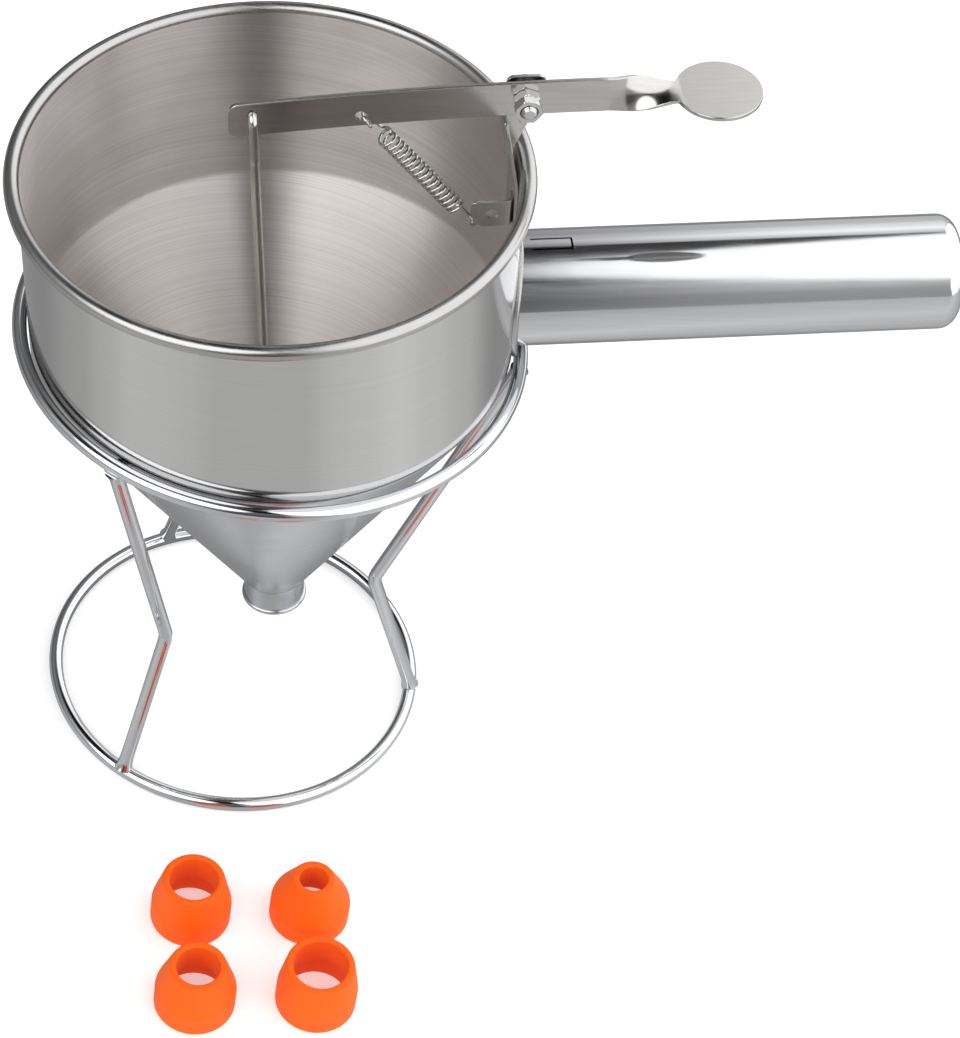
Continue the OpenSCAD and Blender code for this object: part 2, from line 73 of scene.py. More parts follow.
# ---- Studio ----
# A white table in a pale room. A big softbox at the right reaches up overhead, and a smaller one hangs
# at the left. Bright bands and darker gaps stand round the table. The camera itself sees a plain pale
# backdrop instead. In the metal's reflections the table carries painted light and shade: bright lobes and
# dark gaps round the stand, part of them as glow.
backdrop_colour = (0.96, 0.96, 0.96, 1)
# brightness by direction round the room, in degrees from +X towards +Y, and by the sine of the elevation
room_bands = [(-180, 0.40), (-160, 0.50), (-137, 0.55), (-115, 0.30), (-104, 0.10), (-86, 0.10),
              (-78, 0.46), (-60, 0.50), (-30, 0.50), (-5, 0.45), (20, 0.35), (45, 0.25), (60, 0.70),
              (77, 0.74), (88, 0.20), (110, 0.10), (150, 0.15), (180, 0.40)]
room_heights = [(-1.0, 0.5), (0.0, 0.9), (0.2, 1.0), (0.44, 1.5), (0.62, 1.9), (0.76, 1.2),
                (0.80, 0.10), (0.94, 0.10), (1.0, 0.25)]
# each softbox: the direction of its middle, the cosines of its outer and inner edge, and its glow
softboxes = [((0.9015, -0.089, 0.4234), (0.455, 0.480), 1.65),
             ((-0.595, -0.465, 0.656), (0.83, 0.89), 2.2)]
# painted light and shade on the table, by direction round the stand: bright lobes and dark gaps that only
# the metal's reflections see
table_painted_shading = [(-180, 0.48), (-165, 0.60), (-150, 0.71), (-137, 0.70), (-125, 0.66), (-112, 0.59),
               (-77, 0.58), (-65, 0.69), (-52, 0.74), (-38, 0.82), (-23, 0.73), (-5, 0.62), (20, 0.34),
               (45, 0.30), (147, 0.32), (180, 0.48)]
# each field of the table's paint: its share of the painted light and shade in the metal's reflections, and
# its plain grey elsewhere;
# in the emission field that share makes the table glow in the reflections
table_fields = [("Base Color", 0.42, 0.80), ("Emission Color", 0.51, 0.40)]
table_half = 1.6

world = bpy.data.worlds.new("studio")
world.use_nodes = True
scene.world = world


def link(tree, source, output, target, field):
    """Joins one node's output to another node's input."""
    tree.links.new(source.outputs[output], target.inputs[field])


def node(tree, kind, inputs=None, **settings):
    """A new shader node with its settings and the fixed values of its inputs."""
    made = tree.nodes.new("ShaderNode" + kind)
    for name, value in settings.items():
        setattr(made, name, value)
    for name, value in (inputs or {}).items():
        made.inputs[name].default_value = value
    return made


def grey_ramp(tree, source, output, stops):
    """A smooth ramp of greys over a source value: pairs of that value and a brightness up to 2."""
    low, high = stops[0][0], stops[-1][0]
    span = node(tree, "MapRange", {"From Min": low, "From Max": high})
    link(tree, source, output, span, "Value")
    ramp = node(tree, "ValToRGB")
    ramp.color_ramp.interpolation = "EASE"
    while len(ramp.color_ramp.elements) < len(stops):
        ramp.color_ramp.elements.new(0.5)
    for element, (place, grey) in zip(ramp.color_ramp.elements, stops):
        element.position = (place - low) / (high - low)
        element.color = (grey / 2, grey / 2, grey / 2, 1)
    link(tree, span, 0, ramp, 0)
    whole = node(tree, "MixRGB", {"Fac": 1.0, "Color2": (2, 2, 2, 1)}, blend_type="MULTIPLY")
    link(tree, ramp, 0, whole, 1)
    return whole


def compass(tree, coords, output):
    """The direction round the Z axis, in degrees, and the split coordinates."""
    split = node(tree, "SeparateXYZ")
    link(tree, coords, output, split, 0)
    azimuth = node(tree, "Math", operation="ARCTAN2")
    link(tree, split, "Y", azimuth, 0)
    link(tree, split, "X", azimuth, 1)
    degrees = node(tree, "Math", operation="DEGREES")
    link(tree, azimuth, 0, degrees, 0)
    return degrees, split


tree = world.node_tree
direction = node(tree, "TexCoord")
degrees, split = compass(tree, direction, "Generated")
bands = grey_ramp(tree, degrees, 0, room_bands)
heights = grey_ramp(tree, split, "Z", room_heights)
room = node(tree, "MixRGB", {"Fac": 1.0}, blend_type="MULTIPLY")
link(tree, bands, 0, room, 1)
link(tree, heights, 0, room, 2)
lit_room = room
for middle, (outer, inner), glow in softboxes:
    facing = node(tree, "VectorMath", {1: middle}, operation="DOT_PRODUCT")
    link(tree, direction, "Generated", facing, 0)
    softbox = node(tree, "MapRange", {"From Min": outer, "From Max": inner, "To Max": glow},
                   interpolation_type="SMOOTHSTEP")
    link(tree, facing, "Value", softbox, "Value")
    brighter = node(tree, "MixRGB", {"Fac": 1.0}, blend_type="LIGHTEN")
    link(tree, lit_room, 0, brighter, 1)
    link(tree, softbox, 0, brighter, 2)
    lit_room = brighter
seen = node(tree, "LightPath")
choice = node(tree, "MixRGB", {"Color2": backdrop_colour})
link(tree, seen, "Is Camera Ray", choice, "Fac")
link(tree, lit_room, 0, choice, "Color1")
link(tree, choice, 0, tree.nodes["Background"], "Color")

table_mesh = bpy.data.meshes.new("table_top")
table_corners = [(x * table_half, y * table_half, 0) for x, y in ((-1, -1), (1, -1), (1, 1), (-1, 1))]
table_mesh.from_pydata(table_corners, [], [(0, 1, 2, 3)])
table_top = bpy.data.objects.new("table_top", table_mesh)
scene.collection.objects.link(table_top)
table_with_painted_shading = bpy.data.materials.new("table_with_painted_shading")
table_with_painted_shading.use_nodes = True
tree = table_with_painted_shading.node_tree
paint = tree.nodes["Principled BSDF"]
paint.inputs["Roughness"].default_value = 0.8
paint.inputs["Specular IOR Level"].default_value = 0.0
paint.inputs["Emission Strength"].default_value = 1.0
coords = node(tree, "TexCoord")
degrees, split = compass(tree, coords, "Object")
bands = grey_ramp(tree, degrees, 0, table_painted_shading)
seen = node(tree, "LightPath")
# glossy rays see the painted light and shade as the table's colour and glow; other rays see plain grey
for field, share, plain in table_fields:
    painted_reflection = node(tree, "MixRGB", {"Fac": 1.0, "Color2": (share, share, share, 1)},
                    blend_type="MULTIPLY")
    link(tree, bands, 0, painted_reflection, 1)
    choice = node(tree, "MixRGB", {"Color1": (plain, plain, plain, 1)})
    link(tree, seen, "Is Glossy Ray", choice, "Fac")
    link(tree, painted_reflection, 0, choice, "Color2")
    link(tree, choice, 0, paint, field)
table_mesh.materials.append(table_with_painted_shading)

# ---- Stand ----
# Two rings and three kneed legs of 5 mm steel wire, welded together and chromed. The ends of each leg
# carry a small collar of weld where they run into the rings.
ring_z = 178
ring_r = 84.3
base_ring_r = 67
wire_r = 2.5
knee = (47, 61)
knee_bend_r = 9
leg_turns = {"right": -10, "back": 110, "left": 230}
weld_depth = 1.6
weld_swell = 0.9
weld_reach = 3.2
turn_steps = 160
leg_steps = 60
knee_steps = 14


def shell(rings, closed=False):
    """Quads between neighbouring rings of points. An open run gets a flat face at each end."""
    count, size = rings.shape[:2]
    i, j = np.meshgrid(np.arange(count if closed else count - 1), np.arange(size), indexing="ij")
    i_next, j_next = (i + 1) % count, (j + 1) % size
    quads = np.stack([i * size + j, i_next * size + j, i_next * size + j_next, i * size + j_next], -1)
    faces = quads.reshape(-1, 4).tolist()
    if not closed:
        faces.append(list(range(size)))
        faces.append(list(range(count * size - 1, (count - 1) * size - 1, -1)))
    return rings.reshape(-1, 3), faces


def piece(name, shells, materials, finish=None, crease=35):
    """One object from closed shells in millimetres, its faces outward and its doubled points merged.
    finish gives the material's number for each face, where there is more than one."""
    mesh = bpy.data.meshes.new(name)
    points, faces = [], []
    for shell_points, shell_faces in shells:
        start = sum(len(p) for p in points)
        points.append(shell_points)
        faces += [[start + k for k in face] for face in shell_faces]
    mesh.from_pydata(np.concatenate(points) * 0.001, [], faces)
    for material in materials:
        mesh.materials.append(material)
    if finish is not None:
        mesh.polygons.foreach_set("material_index", np.asarray(finish, np.int32))
    work = bmesh.new()
    work.from_mesh(mesh)
    bmesh.ops.remove_doubles(work, verts=work.verts, dist=1e-6)
    bmesh.ops.dissolve_degenerate(work, edges=work.edges, dist=1e-7)
    bmesh.ops.recalc_face_normals(work, faces=work.faces)
    work.to_mesh(mesh)
    work.free()
    mesh.shade_smooth()
    mesh.set_sharp_from_angle(angle=math.radians(crease))
    made = bpy.data.objects.new(name, mesh)
    scene.collection.objects.link(made)
    return made


def along(line, closed=False):
    """Unit directions along a line of points: the step from the point before to the point after."""
    if closed:
        way = np.roll(line, -1, 0) - np.roll(line, 1, 0)
    else:
        way = np.gradient(line, axis=0)
    return way / np.linalg.norm(way, axis=1, keepdims=True)


def wire(line, across, radius, sides=16, closed=False):
    """A round wire: at each point of the line, a circle square to it. The circle starts at the direction
    line x across, which turns smoothly, so the skin doesn't twist."""
    way = along(line, closed)
    side = np.cross(way, across)
    side /= np.linalg.norm(side, axis=1, keepdims=True)
    up = np.cross(way, side)
    angle = np.linspace(0, 2 * np.pi, sides, endpoint=False)[None, :, None]
    reach = np.broadcast_to(radius, len(line))[:, None, None]
    circle = np.cos(angle) * side[:, None] + np.sin(angle) * up[:, None]
    return shell(line[:, None] + reach * circle, closed)


def metal(name, colour, rough, grain, turn=(0, 0, 0), uneven=0.35, tint=0.12, depth=0.02, brush=0.0):
    """Bare metal. A noise stretched along the grain shifts roughness, colour and height, and a broad
    soft noise leaves faint smears. brush stretches the highlights across the grain."""
    made = bpy.data.materials.new(name)
    made.use_nodes = True
    tree = made.node_tree
    bsdf = tree.nodes["Principled BSDF"]
    bsdf.inputs["Metallic"].default_value = 1.0
    coords = node(tree, "TexCoord")
    mapping = node(tree, "Mapping", {"Scale": grain, "Rotation": [math.radians(a) for a in turn]})
    link(tree, coords, "Object", mapping, "Vector")
    lines = node(tree, "TexNoise", {"Scale": 1.0, "Detail": 5.0, "Roughness": 0.62})
    link(tree, mapping, 0, lines, "Vector")
    smears = node(tree, "TexNoise", {"Scale": 28.0, "Detail": 3.0, "Roughness": 0.55, "Distortion": 0.4})
    link(tree, coords, "Object", smears, "Vector")
    both = node(tree, "Math", operation="MULTIPLY")
    link(tree, lines, "Fac", both, 0)
    link(tree, smears, "Fac", both, 1)
    gloss = node(tree, "MapRange", {"From Min": 0.1, "From Max": 0.42,
                                    "To Min": rough * (1 - uneven), "To Max": rough * (1 + uneven)})
    link(tree, both, 0, gloss, "Value")
    link(tree, gloss, 0, bsdf, "Roughness")
    darker = tuple(c * (1 - tint) for c in colour)
    lighter = tuple(min(1.0, c * (1 + tint)) for c in colour)
    shade = node(tree, "MixRGB", {"Color1": (*darker, 1), "Color2": (*lighter, 1)})
    spread = node(tree, "MapRange", {"From Min": 0.3, "From Max": 0.7})
    link(tree, lines, "Fac", spread, "Value")
    link(tree, spread, 0, shade, "Fac")
    link(tree, shade, 0, bsdf, "Base Color")
    bump = node(tree, "Bump", {"Strength": 1.0, "Distance": depth * 0.001})
    link(tree, lines, "Fac", bump, "Height")
    link(tree, bump, 0, bsdf, "Normal")
    if brush:
        bsdf.inputs["Anisotropic"].default_value = brush
        bsdf.inputs["Anisotropic Rotation"].default_value = 0.25
        tangent = node(tree, "Tangent", direction_type="UV_MAP", uv_map="round")
        link(tree, tangent, 0, bsdf, "Tangent")
    return made


chrome = metal("chrome_plate", (0.66, 0.67, 0.69), 0.05, (40, 40, 40), uneven=0.5, tint=0.04, depth=0.004)

for name, r, z in (("stand_top_ring", ring_r, ring_z), ("stand_base_ring", base_ring_r, wire_r)):
    a = np.linspace(0, 2 * np.pi, turn_steps, endpoint=False)
    line = np.stack([r * np.cos(a), r * np.sin(a), np.full_like(a, z)], -1)
    ring = piece("chromed_" + name, [wire(line, (0, 0, 1), wire_r, closed=True)], [chrome])
    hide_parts(name)
    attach(ring, "stand")

for side, turn in leg_turns.items():
    top = np.array([ring_r, ring_z - weld_depth])
    bend_at = np.array(knee, float)
    foot = np.array([base_ring_r, wire_r + weld_depth])
    down = (bend_at - top) / np.linalg.norm(bend_at - top)
    out = (foot - bend_at) / np.linalg.norm(foot - bend_at)
    bend = math.acos(down @ out)
    start = bend_at - down * knee_bend_r * math.tan(bend / 2)
    centre = start + knee_bend_r * np.array([-down[1], down[0]])
    first = math.atan2(*(start - centre)[::-1])
    a = first + bend * np.linspace(0, 1, knee_steps)
    arc = centre + knee_bend_r * np.stack([np.cos(a), np.sin(a)], -1)
    share = np.linspace(0, 1, leg_steps)[:, None]
    upper, lower = top + (start - top) * share[:-1], arc[-1] + (foot - arc[-1]) * share[1:]
    flat = np.concatenate([upper, arc, lower])
    spin = math.radians(turn)
    line = np.stack([flat[:, 0] * math.cos(spin), flat[:, 0] * math.sin(spin), flat[:, 1]], -1)
    from_end = np.minimum(np.linalg.norm(flat - top, axis=1), np.linalg.norm(flat - foot, axis=1))
    radius = wire_r + weld_swell * np.clip(1 - from_end / (wire_r + weld_reach), 0, 1) ** 2
    across = (-math.sin(spin), math.cos(spin), 0)
    leg = piece(f"chromed_leg_{side}", [wire(line, across, radius)], [chrome])
    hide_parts(f"stand_leg_{side}")
    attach(leg, "stand")

# ---- Funnel ----
# The bowl is one deep-drawn sheet with its rim rolled over a wire. The cone is welded to it under a
# small rounded shoulder, and a short spout with a lip is welded to the cone. The outside is polished and
# the inside is brushed round.
seat_lean = 5
seat_depth = 72.953
rim_roll_r = 2.5
wall_in = 80
sheet = 1
wall_out = wall_in + sheet
shoulder_r = 5
wall_end = 71.10
cone_half = 29.347
cone_end = 196.913
spout_r = 11
spout_end = 207.913
lip_out = 0.8
lip_h = 2
mouth_bevel = 0.3
bead_out = 0.45
bead_half = 0.9
bead_rise = 0.3
collar_rise = 1.0
body_steps = 192
wall_steps = 24


def seated(points):
    """From the funnel's own axes, rim at height 0, to the table: lowered to its seat, leaned by 5 degrees
    about Y so that the handle side is up, and raised onto the top ring."""
    points = np.asarray(points, float)
    c, s = math.cos(math.radians(seat_lean)), math.sin(math.radians(seat_lean))
    depth = points[..., 2] + seat_depth
    return np.stack([points[..., 0] * c - depth * s, points[..., 1],
                     points[..., 0] * s + depth * c + ring_z], -1)


def arc_points(centre, r, start, end, steps):
    """Points on an arc, from a start angle to an end angle in degrees."""
    a = np.radians(np.linspace(start, end, steps + 1))
    return np.stack([centre[0] + r * np.cos(a), centre[1] + r * np.sin(a)], -1)


def rounded(corners, radii, steps=5):
    """A closed outline with each corner turned into an arc: the centre lies on the corner's bisector, and
    the arc swings between the two tangent points."""
    corner = np.asarray(corners, float)
    before = np.roll(corner, 1, 0) - corner
    after = np.roll(corner, -1, 0) - corner
    before /= np.linalg.norm(before, axis=1, keepdims=True)
    after /= np.linalg.norm(after, axis=1, keepdims=True)
    radius = np.broadcast_to(np.asarray(radii, float), len(corner))[:, None]
    half = np.arccos(np.clip((before * after).sum(1), -1, 1))[:, None] / 2
    middle = (before + after) / np.linalg.norm(before + after, axis=1, keepdims=True)
    centre = corner + middle * radius / np.sin(half)
    first = corner + before * radius / np.tan(half) - centre
    last = corner + after * radius / np.tan(half) - centre
    swing = np.pi - 2 * half[:, None]
    share = np.linspace(0, 1, steps + 1)[None, :, None]
    blend = (np.sin((1 - share) * swing) * first[:, None] + np.sin(share * swing) * last[:, None])
    return (centre[:, None] + blend / np.sin(swing)).reshape(-1, 2)


def turned(profile, place, steps=body_steps, closed=True):
    """A profile of radius and height turned round the Z axis: (r cos a, r sin a, z), then put in place."""
    a = np.linspace(0, 2 * np.pi, steps, endpoint=False)
    r, z = profile[:, 0, None], profile[:, 1, None]
    rings = np.stack([r * np.cos(a), r * np.sin(a), z + 0 * a], -1)
    return shell(place(rings), closed)


def round_map(made, unplace):
    """A UV map named round whose first axis runs round the funnel's axis and whose second runs along it."""
    mesh = made.data
    co = np.zeros(len(mesh.vertices) * 3)
    mesh.vertices.foreach_get("co", co)
    own = unplace(co.reshape(-1, 3))
    corner = np.zeros(len(mesh.loops), int)
    mesh.loops.foreach_get("vertex_index", corner)
    angle = np.arctan2(own[:, 1], own[:, 0])[corner] / (2 * np.pi)
    total = np.zeros(len(mesh.polygons), int)
    mesh.polygons.foreach_get("loop_total", total)
    starts = np.concatenate([[0], np.cumsum(total)[:-1]])
    first = np.repeat(angle[starts], total)
    angle += np.round(first - angle)
    uv = np.stack([angle, own[corner, 2]], -1)
    made.data.uv_layers.new(name="round").data.foreach_set("uv", uv.ravel())


def unseated(metres):
    """The way back from the table to the funnel's own axes, for points in metres."""
    points = metres * 1000
    c, s = math.cos(math.radians(seat_lean)), math.sin(math.radians(seat_lean))
    z = points[:, 2] - ring_z
    return np.stack([points[:, 0] * c + z * s, points[:, 1], z * c - points[:, 0] * s - seat_depth], -1)


round_grain = (4, 4, 2600)
along_axis = (0, seat_lean, 0)
polished = metal("polished_sheet", (0.64, 0.635, 0.63), 0.10, round_grain, along_axis, uneven=0.3, tint=0.03,
                 depth=0.002)
brushed = metal("brushed_sheet", (0.74, 0.705, 0.69), 0.37, round_grain, along_axis, uneven=0.15, tint=0.12,
                depth=0.0006, brush=1.0)
rim_polish = metal("rim_polish", (0.47, 0.465, 0.46), 0.26, round_grain, along_axis, uneven=0.3, tint=0.06,
                   depth=0.003)

roll = (wall_in + rim_roll_r, -rim_roll_r)
meet = math.degrees(math.acos((wall_out - roll[0]) / rim_roll_r))
wall_rows = np.linspace(0, 1, wall_steps)
outside = np.stack([np.full(wall_steps, wall_out),
                    -wall_end + wall_rows * (wall_end - 2 * rim_roll_r)], -1)
rolled = arc_points(roll, rim_roll_r, -meet, 180, 28)
inside = np.stack([np.full(wall_steps, wall_in),
                   -rim_roll_r - wall_rows * (wall_end - rim_roll_r)], -1)[1:]
profile = np.concatenate([outside, rolled, inside])
rows = np.array([0] * len(outside) + [2] * (len(rolled) - 1) + [1] * (len(inside) + 1))
rows[-1] = 0
bowl = piece("bowl", [turned(profile, seated)], [polished, brushed, rim_polish],
             np.repeat(rows, body_steps))
round_map(bowl, unseated)
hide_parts("bowl_wall")
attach(bowl, "funnel")

cone_level = sheet / math.cos(math.radians(cone_half))
bend_centre = (wall_out - shoulder_r, -wall_end)
outer_bend = arc_points(bend_centre, shoulder_r, -cone_half, 0, 12)
inner_bend = arc_points(bend_centre, shoulder_r - sheet, 0, -cone_half, 12)
cone_rows = np.linspace(0, 1, 30)[:, None]
outer_tip = np.array([spout_r, -cone_end])
inner_tip = np.array([spout_r - cone_level, -cone_end])
outer_cone = outer_tip + (outer_bend[0] - outer_tip) * cone_rows[:-1]
inner_cone = inner_bend[-1] + (inner_tip - inner_bend[-1]) * cone_rows[1:]
profile = np.concatenate([outer_cone, outer_bend, inner_bend, inner_cone])
rows = np.array([0] * (len(outer_cone) + len(outer_bend)) + [1] * (len(inner_bend) + len(inner_cone)))
rows[-1] = 0
cone_polish = metal("cone_polish", (0.57, 0.58, 0.60), 0.22, round_grain, along_axis, uneven=0.3, tint=0.04,
                    depth=0.003)
cone = piece("cone", [turned(profile, seated)], [cone_polish, brushed], np.repeat(rows, body_steps))
round_map(cone, unseated)
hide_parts("funnel_cone")
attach(cone, "funnel")

lip_centre = -spout_end + lip_h / 2
lip = arc_points((0, 0), 1, -90, 90, 12) * (lip_out, lip_h / 2) + (spout_r, lip_centre)
half_turn = arc_points((0, 0), 1, -90, 90, 10)
weld_bead = half_turn * (bead_out, bead_half) + (spout_r, -cone_end + bead_rise)
spout_in = spout_r - sheet
profile = np.concatenate([[(spout_in + mouth_bevel, -spout_end)], lip, weld_bead,
                          [(spout_in, -cone_end + collar_rise), (spout_in, -spout_end + mouth_bevel)]])
collar = piece("spout", [turned(profile, seated, 96)], [cone_polish])
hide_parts("spout_collar")
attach(collar, "funnel")

# ---- Handle ----
# A polished tube, saddle-cut to the bowl and welded to it over a thin curved flange. Its far end is closed
# by a rounded cap, and a tongue for a hanging loop is lanced into its top near the bowl.
handle_drop = 58
handle_r = 19.5
handle_wall = 1.2
handle_reach = 231
handle_end_r = 6
flange_r = 23
flange_t = 1.5
flange_lap = 1.5
flange_edge = 0.5
flange_back_edge = 0.2
flange_steps = 8
end_bulge = 0.35
pole_r = 0.02
seam = 0.05
tongue_l = 17
tongue_w = 5
tongue_slit = 0.7
tongue_in = 3
handle_steps = 128
tube_steps = 40

steel_grain = (6, 900, 900)
handle_polish = metal("handle_polish", (0.64, 0.645, 0.66), 0.10, steel_grain, along_axis, uneven=0.35,
                      tint=0.03, depth=0.003)

flange_back = wall_out + seam
flange_face = flange_back + flange_t
tube_start = flange_face + seam
low = handle_drop + handle_r

flange_in = handle_r - flange_lap
soft_edge = arc_points((flange_r - flange_edge, 0), flange_edge, 75, 0, 5)
reach_out = np.concatenate([np.linspace(flange_in, flange_r - flange_edge, flange_steps), soft_edge[:, 0],
                            [flange_r], np.linspace(flange_r, flange_in, flange_steps)])
height = np.concatenate([np.full(flange_steps, flange_face), flange_face - flange_edge + soft_edge[:, 1],
                         [flange_back + flange_back_edge], np.full(flange_steps, flange_back)])
a = np.linspace(0, 2 * np.pi, handle_steps, endpoint=False)
y = reach_out[:, None] * np.sin(a)
z = np.maximum(-handle_drop + reach_out[:, None] * np.cos(a), -low)
x = np.sqrt(height[:, None] ** 2 - y ** 2)
flange = piece("handle_flange_sheet", [shell(seated(np.stack([x, y, z], -1)), closed=True)],
               [rim_polish])
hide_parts("handle_flange")
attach(flange, "funnel")

tube_end = handle_reach - handle_end_r
share = np.linspace(0, 1, tube_steps)[:, None]
tube_in = handle_r - handle_wall
outer_x = np.sqrt(tube_start ** 2 - (handle_r * np.sin(a)) ** 2)
inner_x = np.sqrt(tube_start ** 2 - (tube_in * np.sin(a)) ** 2)
x = np.concatenate([outer_x + (tube_end - outer_x) * share,
                    tube_end + (inner_x - tube_end) * share])
r = np.repeat([handle_r, tube_in], tube_steps)[:, None]
rings = seated(np.stack([x, r * np.sin(a), -handle_drop + r * np.cos(a)], -1))
tube = piece("handle_pipe", [shell(rings, closed=True)], [handle_polish])


def cut(made, cutters, crease=35):
    """Takes the cutters' shapes out of a piece, then deletes the cutters."""
    for cutter in cutters:
        change = made.modifiers.new("cut", "BOOLEAN")
        change.operation = "DIFFERENCE"
        change.solver = "EXACT"
        change.object = cutter
    bpy.context.view_layer.update()
    result = bpy.data.meshes.new_from_object(made.evaluated_get(bpy.context.evaluated_depsgraph_get()))
    made.modifiers.clear()
    made.data = result
    result.set_sharp_from_angle(angle=math.radians(crease))
    for cutter in cutters:
        bpy.data.objects.remove(cutter)


def block(low_corner, high_corner, place):
    """A box-shaped cutter between two corners, put in place."""
    lo, hi = np.array(low_corner, float), np.array(high_corner, float)
    ring = np.array([(lo[0], lo[1]), (hi[0], lo[1]), (hi[0], hi[1]), (lo[0], hi[1])])
    rings = np.stack([np.column_stack([ring, np.full(4, z)]) for z in (lo[2], hi[2])])
    return piece("cutter", [shell(place(rings))], [])


slit_floor, slit_top = -handle_drop + handle_r / 2, -handle_drop + 2 * handle_r
slits = [block((tube_start + tongue_in, s * tongue_w / 2 - tongue_slit / 2, slit_floor),
               (tube_start + tongue_l, s * tongue_w / 2 + tongue_slit / 2, slit_top), seated)
         for s in (-1, 1)]
slits.append(block((tube_start + tongue_l - tongue_slit, -tongue_w / 2, slit_floor),
                   (tube_start + tongue_l, tongue_w / 2, slit_top), seated))
cut(tube, slits)
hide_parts("handle_tube")
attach(tube, "funnel")


def along_handle(points):
    """From a shape turned round Z to the handle's axis: Z becomes +X at the handle's depth, then seated."""
    return seated(np.stack([points[..., 2], points[..., 1], -handle_drop - points[..., 0]], -1))


flat_r = handle_r - handle_end_r
dome = arc_points((flat_r, tube_end), handle_end_r, 0, 90, 16)
crown = np.linspace(flat_r, pole_r, 6)[1:]
flat_end = np.stack([crown, handle_reach + end_bulge * (1 - (crown / flat_r) ** 2)], -1)
back_end = np.array([(pole_r, handle_reach - handle_wall), (flat_r, handle_reach - handle_wall)])
hollow = arc_points((flat_r, tube_end), handle_end_r - handle_wall, 90, 0, 10)
profile = np.concatenate([dome, flat_end, back_end, hollow])
end_cap = piece("handle_end", [turned(profile, along_handle, handle_steps)], [handle_polish])
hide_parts("handle_end_cap")
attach(end_cap, "funnel")

# ---- Bracket ----
# One sheet of 1.2 mm steel, spot-welded to the inside of the bowl: a plate that leans in towards its top,
# an ear bent out over the rim for the pivot, and a tab bent in for the spring, with a spare hole.
bracket_t = 1.2
bracket_w = 13
bracket_turn = 3.87
seat_x = 79.686
bracket_low = 30
bracket_bend = 13
bracket_lean = 10
plate_rise = 15
pivot_x = wall_in
pivot_z = 26.66
ear_w = 13
ear_top = pivot_z + 7  # above the bolt's axis
edge_x = 78.75
tab_left = 64.75
tab_low, tab_high = -28.8, -18.3
tab_hole = (71.75, -23.55, 4.3)
notch_x = 67.15
fillet = 0.3
flat_crease = 8
bend_soft = 1.2
plate_corner = 1.5
ear_low = 2
ear_join = 4
ear_corner = 2.5
ear_waist = (6.4, 3)
tab_corner = 2
tab_tail = 4
tab_bend_r = 2.2
notch_r = 1.0
drill_ends = (-9, 3)

small_steel = metal("bracket_steel", (0.58, 0.575, 0.56), 0.22, (500, 500, 60), uneven=0.35, tint=0.08,
                    depth=0.008)


def ribbon(centre, half_wide, wide_way, thick_way, half_thick, edge, steps=3, flats=1):
    """A strip with rounded edges: round each point of the centre line, four quarter circles of the edge's
    radius, moved apart by the half width and half thickness less that radius. The points on the flats let
    a twisted strip curve across its width as well."""
    quarter = np.linspace(0, 90, steps + 1)
    over = np.linspace(1, -1, flats + 2)[1:-1]
    one = np.ones(steps + 1)
    a = np.radians(np.concatenate([quarter, 90 + 0 * over, 90 + quarter, 180 + quarter, 270 + 0 * over,
                                   270 + quarter]))
    corner_w = np.concatenate([one, over, -one, -one, -over, one])
    corner_t = np.repeat([1, -1], len(a) // 2)
    half_wide = np.broadcast_to(half_wide, len(centre))[:, None]
    half_thick = np.broadcast_to(half_thick, len(centre))[:, None]
    edge = np.minimum(edge, np.minimum(half_wide, half_thick))
    w = corner_w * (half_wide - edge) + edge * np.cos(a)
    t = corner_t * (half_thick - edge) + edge * np.sin(a)
    wide_way = np.broadcast_to(wide_way, centre.shape)[:, None]
    thick_way = np.broadcast_to(thick_way, centre.shape)[:, None]
    return shell(seated(centre[:, None] + w[..., None] * wide_way + t[..., None] * thick_way))


def softened(ends, half, corner, count=40):
    """Places along a strip and its half width there, with both ends' corners rounded by a radius."""
    start, stop = ends
    s = start + (stop - start) * (1 - np.cos(np.linspace(0, np.pi, count))) / 2
    to_end = np.minimum(s - start, stop - s)
    lost = corner - np.sqrt(np.maximum(corner ** 2 - np.maximum(corner - to_end, 0) ** 2, 0))
    return s, half - lost


lean = math.tan(math.radians(bracket_lean))
s, half = softened((-bracket_low, plate_rise), bracket_w / 2, plate_corner, 60)
bent = np.log1p(np.exp((s + bracket_bend) / bend_soft)) * bend_soft
plate_line = np.stack([seat_x - bracket_t / 2 - lean * bent, 0 * s, s], -1)
turn = math.radians(bracket_turn)
twist = np.array([[math.cos(turn), math.sin(turn), 0], [-math.sin(turn), math.cos(turn), 0], [0, 0, 1]])
upright = along(plate_line)
thick_way = np.stack([upright[:, 2], 0 * s, -upright[:, 0]], -1) @ twist
plate = ribbon(plate_line @ twist, half, np.array([0, 1, 0]) @ twist, thick_way, bracket_t / 2, fillet)

s, lost = softened((ear_low, ear_top), 0, ear_corner, 50)
ear_foot = edge_x - lean * (ear_join + bracket_bend)
ear_left, ear_right = pivot_x - ear_w / 2, pivot_x + ear_w / 2
ear_start = ear_foot - bracket_t
left_edge = ear_start + (s - ear_join) * (ear_left - ear_start) / (ear_top - ear_join)
right_edge = np.interp(s, [ear_join, pivot_z - ear_waist[0], ear_top],
                       [ear_foot + bracket_t, ear_right - ear_waist[1], ear_right])
top_lost = np.where(s > ear_top / 2, lost, 0)
ear_line = np.stack([(left_edge + right_edge) / 2, np.full_like(s, -bracket_t / 2), s], -1)
ear = ribbon(ear_line, (right_edge - left_edge) / 2 + top_lost, (1, 0, 0), (0, 1, 0), bracket_t / 2,
             fillet)

